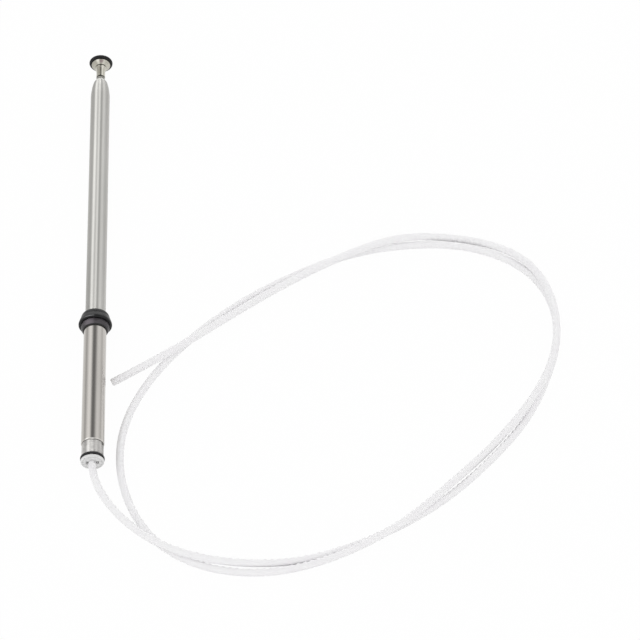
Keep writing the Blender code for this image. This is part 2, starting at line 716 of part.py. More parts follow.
def cord_line():
    """The cord's centre: straight from its anchor to the foot's face, then along its own route."""
    inside = [
        (0.0, FOOT_Y + CORD_TOP, AXIS_HEIGHT),
        (0.0, FOOT_Y + CORD_TOP / 2, AXIS_HEIGHT),
    ]
    outside = [(0.0, FOOT_Y, AXIS_HEIGHT)]
    outside += [(x * MM, FOOT_Y + y * MM, z * MM) for x, y, z in CORD_ROUTE]
    outside = smooth_curve(outside, (0.0, -1.0, 0.0), CORD_POINTS - len(inside))
    line = np.concatenate([np.array(inside), outside])
    line[:, 2] = np.maximum(line[:, 2], CORD_RADIUS)
    return line


def make_cord(material):
    """The drive cord, plain: a round tube along its route, resting on the floor where nothing lifts it."""
    curve = bpy.data.curves.new("drive_cord", "CURVE")
    curve.dimensions = "3D"
    curve.bevel_depth = CORD_RADIUS
    curve.bevel_resolution = CORD_ROUNDNESS
    curve.use_fill_caps = True
    line = curve.splines.new("POLY")
    line.points.add(CORD_POINTS - 1)
    for point, centre in zip(line.points, cord_line()):
        point.co = (*centre, 1.0)
    curve.materials.append(material)
    obj = bpy.data.objects.new("drive_cord", curve)
    parts.objects.link(obj)


def make_root(carrier):
    swaged_tube(
        "outer_tube",
        OUTER_TUBE_BOTTOM,
        OUTER_TUBE_TOP,
        OUTER_BORE,
        OUTER_WALL,
        MIDDLE_RADIUS + SLIDE_GAP,
        MOUTH_LENGTH,
        carrier,
        satin_nickel,
    )
    make_ferrule(carrier, bright_nickel)
    make_gasket(carrier, black_rubber)
    make_end_bush(carrier, pale_nylon)


def make_sleeve_set(carrier):
    make_sleeve(carrier, bright_nickel)
    make_collar(carrier, black_plastic)
    make_collar_seal(carrier, black_rubber)
    make_wiper(carrier, black_rubber)
    length = FLARE_CYLINDER - SEAT_GAP
    contact_spring(
        "sleeve_contact",
        SLEEVE_TOP - length,
        length,
        FLARE_BORE - CRIMP_GAP - BROAD_CONTACT_SHEET,
        OUTER_RADIUS + CONTACT_GAP,
        BROAD_CONTACT_SHEET,
        carrier,
        spring_bronze,
        FINE_SIDES,
    )


def make_middle_set(carrier):
    swaged_tube(
        "middle_tube",
        MIDDLE_TUBE_BOTTOM,
        MIDDLE_TUBE_TOP,
        MIDDLE_BORE,
        THIN_WALL,
        INNER_RADIUS + SLIDE_GAP,
        THIN_MOUTH_LENGTH,
        carrier,
        polished_steel,
        FINE_SIDES,
    )
    foot_bush(
        "middle_foot",
        MIDDLE_FOOT_BOTTOM,
        MIDDLE_FOOT_LENGTH,
        MIDDLE_FOOT_LIP,
        CORD_BORE + SLIDE_GAP,
        MIDDLE_RADIUS,
        OUTER_BORE - SLIDE_GAP,
        carrier,
        foot_brass,
        ROUND_SIDES,
    )
    contact_spring(
        "middle_contact",
        MIDDLE_CONTACT_BOTTOM,
        MIDDLE_CONTACT_LENGTH,
        MIDDLE_RADIUS + CRIMP_GAP,
        OUTER_BORE - CONTACT_GAP - BROAD_CONTACT_SHEET,
        BROAD_CONTACT_SHEET,
        carrier,
        spring_bronze,
        FINE_SIDES,
    )


def make_inner_set(carrier):
    swaged_tube(
        "inner_tube",
        INNER_TUBE_BOTTOM,
        INNER_TUBE_TOP,
        INNER_BORE,
        THIN_WALL,
        ROD_RADIUS + SLIDE_GAP,
        THIN_MOUTH_LENGTH,
        carrier,
        polished_steel,
        FINE_SIDES,
    )
    foot_bush(
        "inner_foot",
        INNER_FOOT_BOTTOM,
        INNER_FOOT_LENGTH,
        INNER_FOOT_LIP,
        CORD_BORE,
        INNER_RADIUS,
        MIDDLE_BORE - SLIDE_GAP,
        carrier,
        foot_brass,
        FINE_SIDES,
    )
    contact_spring(
        "inner_contact",
        INNER_CONTACT_BOTTOM,
        INNER_CONTACT_LENGTH,
        INNER_RADIUS + CRIMP_GAP,
        MIDDLE_BORE - CONTACT_GAP - CONTACT_SHEET,
        CONTACT_SHEET,
        carrier,
        spring_bronze,
        FINE_SIDES,
    )


def make_tip_set(carrier):
    make_rod(carrier, polished_steel)
    make_rod_foot(carrier, foot_brass)
    make_anchor(carrier, foot_brass)
    contact_spring(
        "rod_contact",
        ROD_CONTACT_BOTTOM,
        ROD_CONTACT_LENGTH,
        ROD_RADIUS + CRIMP_GAP,
        INNER_BORE - CONTACT_GAP - CONTACT_SHEET,
        CONTACT_SHEET,
        carrier,
        spring_bronze,
        FINE_SIDES,
    )
    make_stem(carrier, bright_nickel)
    make_cap(carrier, black_plastic)


remove_objects()
parts = new_collection("telescopic_antenna")
cutters = new_collection("cutters")

satin_nickel = new_material("satin_nickel", (0.60, 0.60, 0.57), 0.36, 1.0)
bright_nickel = new_material("bright_nickel", (0.68, 0.65, 0.60), 0.2, 1.0)
polished_steel = new_material("polished_steel", (0.62, 0.62, 0.61), 0.18, 1.0)
foot_brass = new_material("foot_brass", (0.62, 0.47, 0.22), 0.3, 1.0)
spring_bronze = new_material("spring_bronze", (0.60, 0.38, 0.22), 0.3, 1.0)
black_plastic = new_material("black_plastic", (0.03, 0.03, 0.032), 0.42, 0.0)
black_rubber = new_material("black_rubber", (0.02, 0.02, 0.021), 0.6, 0.0)
pale_nylon = new_material("pale_nylon", (0.74, 0.74, 0.72), 0.45, 0.0)
cord_nylon = new_material("cord_nylon", (0.82, 0.83, 0.84), 0.4, 0.0)

mast = new_empty("mast_axis", None)
mast.location = (0, FOOT_Y, AXIS_HEIGHT)
mast.rotation_euler = (math.radians(-90), 0, 0)
sleeve_slide = new_empty("sleeve_slide", mast, SLEEVE_BOTTOM)
middle_slide = new_empty("middle_slide", mast, MIDDLE_FOOT_BOTTOM)
inner_slide = new_empty("inner_slide", middle_slide, INNER_FOOT_BOTTOM - MIDDLE_FOOT_BOTTOM)
rod_slide = new_empty("rod_slide", inner_slide, ANCHOR_BOTTOM - INNER_FOOT_BOTTOM)

make_root(mast)
make_sleeve_set(sleeve_slide)
make_middle_set(middle_slide)
make_inner_set(inner_slide)
make_tip_set(rod_slide)
make_cord(cord_nylon)
bpy.context.view_layer.update()
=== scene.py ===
"""The look of the telescopic antenna: its camera, light, cord, turned pieces and materials.

Sizes are in millimetres until a mesh is made. Heights on the mast are measured from the face of its foot,
as in the part's own source, and the ends and radii of its pieces are read from the solids in model.glb.
"""

import math

import bmesh
import bpy
import numpy as np
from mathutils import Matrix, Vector


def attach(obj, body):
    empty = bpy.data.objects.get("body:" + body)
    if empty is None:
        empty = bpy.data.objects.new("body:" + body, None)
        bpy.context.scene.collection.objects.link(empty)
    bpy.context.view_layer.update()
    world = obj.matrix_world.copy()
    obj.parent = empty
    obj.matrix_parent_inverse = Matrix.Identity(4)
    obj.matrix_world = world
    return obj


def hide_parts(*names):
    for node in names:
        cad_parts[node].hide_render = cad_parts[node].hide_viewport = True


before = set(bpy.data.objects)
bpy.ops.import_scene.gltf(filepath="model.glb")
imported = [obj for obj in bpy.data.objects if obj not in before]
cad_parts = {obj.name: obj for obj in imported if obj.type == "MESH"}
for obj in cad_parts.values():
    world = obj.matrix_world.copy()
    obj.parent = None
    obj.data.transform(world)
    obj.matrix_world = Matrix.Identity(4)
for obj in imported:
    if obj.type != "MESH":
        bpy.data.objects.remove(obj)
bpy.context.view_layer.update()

MM = 0.001

# Clearances between seated, crimped and running pieces
SEAT_GAP = 0.2
CRIMP_GAP = 0.06
RUN_GAP = 0.15

# Radii and walls that more than one piece needs
OUTER_WALL = 0.4
THIN_WALL = 0.3
SLEEVE_RADIUS = 5.55
SLEEVE_BORE = 5.25
STEM_RADIUS = 2.31
CONE_HEIGHT = 7.85
BUSH_PLUG_RADIUS = 3.4
FERRULE_BORE = BUSH_PLUG_RADIUS + RUN_GAP

# Turned pieces are fine enough to show no corners, and the broad ones are finer
SIDES = 96
BROAD_SIDES = 128
ROD_SIDES = 64
CREASE = 35.0
COLLAR_CREASE = 28.0
FILLET = 0.08


def corners(node):
    """The corners of a solid's box, in millimetres."""
    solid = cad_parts[node]
    return np.array([solid.matrix_world @ Vector(corner) for corner in solid.bound_box]) / MM


FOOT_Y = corners("end_bush")[:, 1].min()
AXIS_HEIGHT = (corners("outer_tube")[:, 2].min() + corners("outer_tube")[:, 2].max()) / 2


def span(node):
    """Where a turned solid starts and ends along the mast, and its largest radius."""
    box = corners(node)
    return box[:, 1].min() - FOOT_Y, box[:, 1].max() - FOOT_Y, box[:, 0].max()


# Camera, at the photograph's viewing angle

CAMERA_PLACE = (81.65, -771.97, 943.07)
CAMERA_PITCH = 37.70
CAMERA_YAW = -2.286
CAMERA_LENS = 135.0
CAMERA_SENSOR = 36.0
CAMERA_CLIP = (0.05, 20.0)

camera_data = bpy.data.cameras.new("camera")
camera_data.lens = CAMERA_LENS
camera_data.sensor_width = CAMERA_SENSOR
camera_data.clip_start, camera_data.clip_end = CAMERA_CLIP
camera = bpy.data.objects.new("camera", camera_data)
camera.location = [v * MM for v in CAMERA_PLACE]
camera.rotation_euler = (math.radians(CAMERA_PITCH), 0.0, math.radians(CAMERA_YAW))
bpy.context.scene.collection.objects.link(camera)
bpy.context.scene.camera = camera


# Mesh helpers

MERGE_DISTANCE = 1e-7

# The most of a side that a rounded corner takes at each end
CORNER_SHARE = 0.45


def make_mesh(name, verts, faces, crease=CREASE):
    """An object from corners in millimetres, smooth except where its faces meet at more than the crease."""
    mesh = bpy.data.meshes.new(name)
    mesh.from_pydata([[c * MM for c in v] for v in verts], [], faces)
    work = bmesh.new()
    work.from_mesh(mesh)
    bmesh.ops.remove_doubles(work, verts=work.verts, dist=MERGE_DISTANCE)
    bmesh.ops.recalc_face_normals(work, faces=work.faces)
    work.to_mesh(mesh)
    work.free()
    mesh.shade_smooth()
    mesh.set_sharp_from_angle(angle=math.radians(crease))
    obj = bpy.data.objects.new(name, mesh)
    bpy.context.scene.collection.objects.link(obj)
    return obj


def rounded(outline, fillet, steps=3, closed=True):
    """The outline with each corner turned into a short curve. A third value on a point is its own fillet."""
    count = len(outline)
    points = []
    for i, corner in enumerate(outline):
        own = corner[2] if len(corner) > 2 else fillet
        here = np.array(corner[:2])
        if own == 0 or (not closed and i in (0, count - 1)):
            points.append(tuple(here))
            continue
        before = np.array(outline[i - 1][:2])
        after = np.array(outline[(i + 1) % count][:2])
        back = before - here
        ahead = after - here
        reach = min(own, CORNER_SHARE * np.linalg.norm(back), CORNER_SHARE * np.linalg.norm(ahead))
        start = here + back / np.linalg.norm(back) * reach
        end = here + ahead / np.linalg.norm(ahead) * reach
        for k in range(steps + 1):
            t = k / steps
            points.append(tuple((1 - t) ** 2 * start + 2 * t * (1 - t) * here + t * t * end))
    return points


def revolve(name, outline, sides=SIDES, closed=True, crease=CREASE):
    """A turned piece about the mast's axis, from an outline of radii and heights."""
    verts = []
    faces = []
    for radius, height in outline:
        for j in range(sides):
            angle = 2 * math.pi * j / sides
            x = radius * math.cos(angle)
            z = AXIS_HEIGHT + radius * math.sin(angle)
            verts.append((x, FOOT_Y + height, z))
    count = len(outline)
    last = count if closed else count - 1
    for i in range(last):
        a = i * sides
        b = ((i + 1) % count) * sides
        for j in range(sides):
            k = (j + 1) % sides
            faces.append((a + j, b + j, b + k, a + k))
    return make_mesh(name, verts, faces, crease)


# Nodes


def new_node(tree, kind, values=(), **settings):
    """A node with its settings and with values on its own inputs."""
    node = tree.nodes.new(kind)
    for key, value in settings.items():
        setattr(node, key, value)
    for socket, value in values:
        node.inputs[socket].default_value = value
    return node


def curve_of(tree, source, bands, top):
    """A level read off a line of points at an angle in radians: angles in degrees, and levels up to top."""
    scaled = new_node(tree, "ShaderNodeMapRange", [("From Min", -math.pi), ("From Max", math.pi)])
    tree.links.new(source, scaled.inputs["Value"])
    levels = new_node(tree, "ShaderNodeFloatCurve")
    line = levels.mapping.curves[0]
    while len(line.points) < len(bands):
        line.points.new(0.5, 0.5)
    for point, (angle, level) in zip(line.points, bands):
        point.location = ((angle + 180) / 360, level / top)
        point.handle_type = "AUTO_CLAMPED"
    levels.mapping.update()
    tree.links.new(scaled.outputs["Result"], levels.inputs["Value"])
    boost = new_node(tree, "ShaderNodeMath", [(1, top)], operation="MULTIPLY")
    tree.links.new(levels.outputs[0], boost.inputs[0])
    return boost.outputs[0]


# Where a mark's edge starts and ends, as shares of its reach
NEAR_EDGE = (0.75, 1.25)

# A Mix node has sockets of the same names for each kind of data, so they are taken by number: 2 and 3 are mixed
# into output 0 for numbers, and 6 and 7 into output 2 for colours


class Nodes:
    """A material and short ways to add nodes to it."""

    def __init__(self, name):
        self.material = bpy.data.materials.new(name)
        self.material.use_nodes = True
        self.tree = self.material.node_tree
        self.shader = self.tree.nodes["Principled BSDF"]
        self.place = self.add("ShaderNodeTexCoord").outputs["Object"]

    def add(self, kind, values=(), **settings):
        return new_node(self.tree, kind, values, **settings)

    def link(self, source, target):
        self.tree.links.new(source, target)

    def noise(self, scale, stretch=(1, 1, 1), detail=4.0, rough=0.55):
        """Noise over the piece, scaled in features per metre and stretched along each axis."""
        mapping = self.add("ShaderNodeMapping", [("Scale", stretch)])
        self.link(self.place, mapping.inputs["Vector"])
        noise = self.add("ShaderNodeTexNoise", [("Scale", scale), ("Detail", detail), ("Roughness", rough)])
        self.link(mapping.outputs["Vector"], noise.inputs["Vector"])
        return noise.outputs["Fac"]

    def spread(self, source, low, high, to_low, to_high):
        """A value mapped from one range to another, clamped."""
        ends = [("From Min", low), ("From Max", high), ("To Min", to_low), ("To Max", to_high)]
        node = self.add("ShaderNodeMapRange", ends)
        self.link(source, node.inputs["Value"])
        return node.outputs["Result"]

    def tint(self, factor, colour_a, colour_b):
        """Two colours mixed by a value, each a plain colour or one that nodes make."""
        node = self.add("ShaderNodeMix", data_type="RGBA")
        self.link(factor, node.inputs["Factor"])
        for socket, colour in zip((node.inputs[6], node.inputs[7]), (colour_a, colour_b)):
            if isinstance(colour, tuple):
                socket.default_value = (*colour, 1.0)
            else:
                self.link(colour, socket)
        return node.outputs[2]

    def blend(self, a, b, share):
        """Two values mixed: share of the second, a number or a value of its own."""
        node = self.add("ShaderNodeMix", data_type="FLOAT")
        if isinstance(share, float):
            node.inputs[0].default_value = share
        else:
            self.link(share, node.inputs[0])
        self.link(a, node.inputs[2])
        self.link(b, node.inputs[3])
        return node.outputs[0]

    def around(self, bands):
        """A value by the angle round the mast: 0 is on top, and 90 towards +X."""
        split = self.add("ShaderNodeSeparateXYZ")
        self.link(self.place, split.inputs[0])
        rise = self.add("ShaderNodeMath", [(1, AXIS_HEIGHT * MM)], operation="SUBTRACT")
        self.link(split.outputs["Z"], rise.inputs[0])
        angle = self.add("ShaderNodeMath", operation="ARCTAN2")
        self.link(split.outputs["X"], angle.inputs[0])
        self.link(rise.outputs[0], angle.inputs[1])
        return curve_of(self.tree, angle.outputs[0], bands, top=1.0)

    def near(self, height, reach):
        """1 within reach of a height on the mast and 0 beyond, with a soft edge."""
        split = self.add("ShaderNodeSeparateXYZ")
        self.link(self.place, split.inputs[0])
        off = self.add("ShaderNodeMath", [(1, (FOOT_Y + height) * MM)], operation="SUBTRACT")
        self.link(split.outputs["Y"], off.inputs[0])
        away = self.add("ShaderNodeMath", operation="ABSOLUTE")
        self.link(off.outputs[0], away.inputs[0])
        inner, outer = (share * reach * MM for share in NEAR_EDGE)
        return self.spread(away.outputs[0], inner, outer, 1.0, 0.0)

    def marked(self, colour, marks):
        """The colour with marks on it, each a height and reach on the mast, lines round it and a colour."""
        for height, reach, lines, mark in marks:
            share = self.add("ShaderNodeMath", operation="MULTIPLY")
            self.link(self.near(height, reach), share.inputs[0])
            self.link(self.around(lines), share.inputs[1])
            colour = self.tint(share.outputs[0], colour, mark)
        return colour

    def bump(self, height, depth, strength):
        """A surface raised by a value, to a depth in millimetres."""
        node = self.add("ShaderNodeBump", [("Strength", strength), ("Distance", depth * MM)])
        self.link(height, node.inputs["Height"])
        return node.outputs["Normal"]

    def finish(self, colour, roughness, normal, metallic=0.0, gloss=0.5):
        """The finished material, with what is the same all over it set on the shader."""
        self.link(colour, self.shader.inputs["Base Color"])
        self.link(roughness, self.shader.inputs["Roughness"])
        self.link(normal, self.shader.inputs["Normal"])
        self.shader.inputs["Metallic"].default_value = metallic
        self.shader.inputs["Specular IOR Level"].default_value = gloss
        return self.material


# Materials

# Lines round the mast, set to match the photograph, partly painted reflected light and partly wear: the angle,
# where 0 is on top and 90 is towards +X, and the level, from dark at 0 to light at 1
TUBE_LINES = [
    (-180.0, 0.4),
    (-75.0, 0.35),
    (-42.0, 0.08),
    (-31.0, 0.2),
    (-19.0, 0.9),
    (-9.0, 0.4),
    (2.0, 1.0),
    (13.0, 0.1),
    (27.0, 0.5),
    (50.0, 0.2),
    (75.0, 0.4),
    (180.0, 0.4),
]
SLEEVE_LINES = [(-180.0, 0.55), (-62.0, 0.5), (-45.0, 0.15), (-30.0, 0.5), (180.0, 0.55)]
FERRULE_LINES = [
    (-180.0, 0.5),
    (-60.0, 0.4),
    (-36.0, 0.15),
    (-17.0, 1.0),
    (-8.0, 0.65),
    (2.0, 1.0),
    (13.0, 0.35),
    (23.0, 0.5),
    (37.0, 0.2),
    (50.0, 0.4),
    (68.0, 0.05),
    (180.0, 0.5),
]
STEM_LINES = [(-180.0, 0.5), (-60.0, 0.4), (-10.0, 0.0), (6.0, 0.3), (24.0, 0.9), (45.0, 0.55), (180.0, 0.5)]
CONE_LINES = [
    (-180.0, 0.4),
    (-36.0, 0.22),
    (-17.0, 1.0),
    (-5.0, 0.2),
    (8.0, 0.0),
    (22.0, 0.6),
    (35.0, 0.4),
    (180.0, 0.4),
]
SEAL_LINES = [(-180.0, 0.2), (-60.0, 0.2), (-22.0, 1.0), (4.0, 0.3), (60.0, 0.1), (180.0, 0.2)]
EVEN = [(-180.0, 0.5), (180.0, 0.5)]

# How strongly a mark shows round the mast: all round, the painted highlight on the edge of the collar's flange,
# the painted shadow on the ferrule under the sleeve, the mauve patch on the button's cone and the painted
# highlight on the sleeve's rim
ALL_ROUND = [(-180.0, 1.0), (180.0, 1.0)]
FLANGE_HIGHLIGHT_LINES = [(-180.0, 0.0), (-65.0, 0.0), (-34.0, 0.6), (-20.0, 1.0), (-2.0, 0.7), (10.0, 0.0), (180.0, 0.0)]
SLEEVE_SHADOW_LINES = [(-180.0, 0.0), (50.0, 0.0), (68.0, 0.95), (78.0, 0.7), (108.0, 0.0), (180.0, 0.0)]
PATCH_LINES = [(-180.0, 0.0), (-12.0, 0.0), (2.0, 0.7), (12.0, 0.7), (30.0, 0.0), (180.0, 0.0)]
RIM_HIGHLIGHT_LINES = [(-180.0, 0.2), (-42.0, 0.1), (-27.0, 0.9), (-13.0, 0.3), (2.0, 1.0), (14.0, 0.2), (180.0, 0.2)]

# The part of a noise's range that goes from dark to light, and the part that goes from one gloss to the other
METAL_SHADE = (0.32, 0.68)
METAL_GLOSS = (0.3, 0.7)
MOULDED_SHADE = (0.35, 0.7)
MOULDED_GLOSS = (0.35, 0.65)


def drawn_metal(name, dark, light, rough, depth, lines, line_share, marks=()):
    """Plated tube, drawn lengthwise: streaks along Y in its colour, roughness and surface, and lines along Y in
    its colour that are partly painted reflected light and partly wear.
    """
    nodes = Nodes(name)
    streaks = nodes.noise(scale=1500.0, stretch=(1, 0.012, 1), detail=3.0)
    broad = nodes.noise(scale=420.0, stretch=(1, 0.02, 1), detail=2.0)
    cloud = nodes.noise(scale=60.0, stretch=(1, 0.4, 1))
    drawn = nodes.blend(streaks, broad, share=0.45)
    shade = nodes.blend(drawn, cloud, share=0.3)
    level = nodes.blend(nodes.spread(shade, *METAL_SHADE, 0.0, 1.0), nodes.around(lines), line_share)
    colour = nodes.marked(nodes.tint(level, dark, light), marks)
    roughness = nodes.spread(shade, *METAL_GLOSS, rough[1], rough[0])
    normal = nodes.bump(streaks, depth, strength=0.6)
    return nodes.finish(colour, roughness, normal, metallic=1.0)


def turned_metal(name, dark, light, rough, depth, lines, line_share, upper=None, marks=()):
    """Turned metal: fine rings round the axis over faint clouding, painted reflected light in lines round the
    mast, and other such lines near one height.
    """
    nodes = Nodes(name)
    rings = nodes.noise(scale=2600.0, stretch=(0.02, 1, 0.02), detail=3.0)
    cloud = nodes.noise(scale=420.0)
    shade = nodes.blend(rings, cloud, share=0.55)
    # Painted reflected light, in lines round the mast
    drawn = nodes.around(lines)
    if upper is not None:
        upper_lines, height, reach = upper
        drawn = nodes.blend(drawn, nodes.around(upper_lines), nodes.near(height, reach))
    level = nodes.blend(nodes.spread(shade, *METAL_SHADE, 0.0, 1.0), drawn, line_share)
    colour = nodes.marked(nodes.tint(level, dark, light), marks)
    roughness = nodes.spread(shade, *METAL_GLOSS, rough[1], rough[0])
    normal = nodes.bump(rings, depth, strength=0.6)
    return nodes.finish(colour, roughness, normal, metallic=1.0)


def moulded(name, dark, light, rough, grain_scale, depth, gloss=0.5, lines=None, marks=()):
    """Moulded plastic or rubber: fine grain, faint clouding and a few handling scuffs."""
    nodes = Nodes(name)
    grain = nodes.noise(grain_scale, detail=5.0, rough=0.6)
    cloud = nodes.noise(scale=180.0, detail=3.0)
    scuffs = nodes.noise(scale=900.0, stretch=(0.3, 1, 0.3), detail=6.0, rough=0.7)
    shade = nodes.blend(cloud, scuffs, share=0.4)
    level = nodes.spread(shade, *MOULDED_SHADE, 0.0, 1.0)
    # Lines round the mast paint reflected light into the colour
    if lines is not None:
        level = nodes.blend(level, nodes.around(lines), share=0.75)
    colour = nodes.marked(nodes.tint(level, dark, light), marks)
    roughness = nodes.spread(shade, *MOULDED_GLOSS, *rough)
    normal = nodes.bump(grain, depth, strength=0.5)
    return nodes.finish(colour, roughness, normal, gloss=gloss)


# Each mark is a height and a reach on the mast in millimetres, its lines round the mast and its colour
SLEEVE_BOTTOM = span("sleeve_tube")[0]
STEM_BOTTOM = span("cap_stem")[0]
CONE_BOTTOM = STEM_BOTTOM + CONE_HEIGHT

satin_nickel = drawn_metal(
    "satin_nickel_look",
    dark=(0.36, 0.355, 0.34),
    light=(0.915, 0.907, 0.872),
    rough=(0.5, 0.6),
    depth=0.004,
    lines=TUBE_LINES,
    line_share=0.82,
)
sleeve_nickel = drawn_metal(
    "sleeve_nickel_look",
    dark=(0.38, 0.362, 0.335),
    light=(0.68, 0.655, 0.625),
    rough=(0.13, 0.19),
    depth=0.002,
    lines=SLEEVE_LINES,
    line_share=0.75,
    # A painted highlight on the sleeve's lower rim
    marks=[(SLEEVE_BOTTOM + 0.2, 0.45, RIM_HIGHLIGHT_LINES, (0.95, 0.93, 0.9))],
)
polished_steel = drawn_metal(
    "polished_steel_look",
    dark=(0.5, 0.5, 0.48),
    light=(0.66, 0.66, 0.64),
    rough=(0.16, 0.26),
    depth=0.002,
    lines=EVEN,
    line_share=0.2,
)
turned_nickel = turned_metal(
    "turned_nickel_look",
    dark=(0.33, 0.322, 0.312),
    light=(0.935, 0.92, 0.895),
    rough=(0.42, 0.54),
    depth=0.006,
    lines=FERRULE_LINES,
    line_share=0.7,
    # A painted shadow on the ferrule just under the sleeve's end
    marks=[(SLEEVE_BOTTOM - 0.7, 0.9, SLEEVE_SHADOW_LINES, (0.06, 0.055, 0.05))],
)
stem_nickel = turned_metal(
    "stem_nickel_look",
    dark=(0.27, 0.258, 0.215),
    light=(0.86, 0.84, 0.75),
    rough=(0.2, 0.32),
    depth=0.003,
    lines=STEM_LINES,
    line_share=0.82,
    upper=(CONE_LINES, CONE_BOTTOM + 5.3, 5.0),
    # Painted shade round the stem's lower end, a painted highlight on its end face, painted shade on the neck
    # and a mauve patch on the cone
    marks=[
        (STEM_BOTTOM + 0.38, 0.38, ALL_ROUND, (0.03, 0.027, 0.024)),
        (STEM_BOTTOM, 0.06, ALL_ROUND, (0.75, 0.74, 0.7)),
        (CONE_BOTTOM + 0.1, 0.3, ALL_ROUND, (0.16, 0.15, 0.13)),
        (CONE_BOTTOM + 1.3, 0.5, PATCH_LINES, (0.28, 0.215, 0.225)),
    ],
)
foot_brass = turned_metal(
    "foot_brass_look",
    dark=(0.48, 0.36, 0.16),
    light=(0.62, 0.48, 0.24),
    rough=(0.24, 0.4),
    depth=0.003,
    lines=EVEN,
    line_share=0.2,
)
spring_bronze = turned_metal(
    "spring_bronze_look",
    dark=(0.5, 0.32, 0.18),
    light=(0.62, 0.42, 0.25),
    rough=(0.24, 0.38),
    depth=0.002,
    lines=EVEN,
    line_share=0.2,
)
black_plastic = moulded(
    "black_plastic_look",
    dark=(0.005, 0.005, 0.0055),
    light=(0.011, 0.011, 0.012),
    rough=(0.26, 0.4),
    grain_scale=3500.0,
    depth=0.008,
    gloss=0.26,
    # A painted highlight along the lower edge of the collar's flange
    marks=[(span("collar")[0] + 0.75, 0.24, FLANGE_HIGHLIGHT_LINES, (0.18, 0.18, 0.185))],
)
black_rubber = moulded(
    "black_rubber_look",
    dark=(0.01, 0.01, 0.011),
    light=(0.022, 0.022, 0.023),
    rough=(0.45, 0.62),
    grain_scale=4500.0,
    depth=0.012,
    gloss=0.35,
)
seal_rubber = moulded(
    "seal_rubber_look",
    dark=(0.004, 0.0035, 0.004),
    light=(0.17, 0.15, 0.17),
    rough=(0.26, 0.42),
    grain_scale=2500.0,
    depth=0.01,
    gloss=0.45,
    # Painted highlight round the seal, lightest a little left of the top
    lines=SEAL_LINES,
    # A painted shadow along the seal's lip against the sleeve
    marks=[(span("collar_seal")[0] + 0.6, 0.3, ALL_ROUND, (0.003, 0.003, 0.003))],
)
pale_nylon = moulded(
    "pale_nylon_look",
    dark=(0.68, 0.68, 0.675),
    light=(0.81, 0.81, 0.805),
    rough=(0.35, 0.5),
    grain_scale=3000.0,
    depth=0.006,
)
cord_nylon = moulded(
    "cord_nylon_look",
    dark=(0.9, 0.888, 0.905),
    light=(0.93, 0.93, 0.932),
    rough=(0.5, 0.6),
    grain_scale=900.0,
    depth=0.002,
    gloss=0.3,
)

# Light goes a little way into the nylon
NYLON_DEPTH = 0.8
NYLON_SHARE = 0.4

for nylon in (pale_nylon, cord_nylon):
    sockets = nylon.node_tree.nodes["Principled BSDF"].inputs
    sockets["Subsurface Weight"].default_value = NYLON_SHARE
    sockets["Subsurface Radius"].default_value = (1.0, 1.0, 1.0)
    sockets["Subsurface Scale"].default_value = NYLON_DEPTH * MM


def fit(obj, material, body, node):
    """Give a piece its material and its body, in place of the plain solid."""
    obj.data.materials.append(material)
    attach(obj, body)
    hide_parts(node)


# The drive cord

CORD_RADIUS = 1.85
CORD_TOP = span("inner_foot")[1] + SEAT_GAP

# In millimetres from the centre of the foot's face across X and Y, and above the floor in Z
CORD_ROUTE = [
    (0.0, 0.0, AXIS_HEIGHT),
    (12.5, -28.4, 6.95),
    (37.5, -47.9, 6.35),
    (72.0, -54.9, 3.2),
    (94.0, -53.9, 2.1),
    (129.0, -43.4, 1.85),
    (164.5, -22.9, 1.85),
    (191.0, 1.6, 1.85),
    (208.5, 23.6, 1.85),
    (219.0, 44.6, 1.85),
    (227.5, 82.1, 1.85),
    (218.0, 109.6, 1.85),
    (187.0, 129.1, 1.85),
    (158.5, 131.6, 1.85),
    (129.5, 127.1, 1.85),
    (103.5, 116.6, 1.85),
    (71.5, 97.6, 1.85),
    (47.5, 77.1, 1.85),
    (28.5, 54.6, 1.85),
    (13.5, 19.6, 1.85),
    (13.5, -5.4, 1.85),
    (32.5, -43.2, 1.85),
    (56.0, -56.4, 1.85),
    (88.0, -58.9, 2.3),
    (121.5, -49.9, 5.05),
    (145.0, -36.9, 6.45),
    (169.0, -15.4, 5.25),
    (183.0, -0.4, 2.2),
    (210.0, 29.6, 6.25),
    (225.5, 64.1, 6.15),
    (220.0, 108.6, 6.25),
    (210.0, 121.6, 4.7),
    (178.5, 135.6, 2.0),
    (157.0, 134.1, 5.25),
    (122.5, 122.1, 5.75),
    (79.0, 98.1, 3.1),
    (61.0, 84.6, 4.0),
    (35.5, 64.6, 6.75),
    (8.0, 51.1, 1.85),
]
CORD_START_DIRECTION = (0.0, -1.0, 0.0)
CORD_SIDES = 20
CORD_CREASE = 30.0

# The teeth face the middle of the turns, turned up by the lift in degrees. The depth is how far the gaps are
# cut into the round cord, and the flat is how far the tops are cut.
LOOP_CENTRE = (112.0, 37.0)
TOOTH_LIFT = 32.0
TOOTH_PITCH = 3.2
TOOTH_DEPTH = 0.44
TOOTH_FLAT = 0.05

# Along one pitch: how far along, and how deep the cut is there
TOOTH_RISE = [(0.0, 0.0), (0.25, 0.0), (0.45, 1.0), (0.8, 1.0)]

# How far back from the cord's far end each ring sits, and its share of the full girth
END_ROUND = [(0.6, 1.0), (0.3, 0.95), (0.1, 0.86), (0.0, 0.74)]


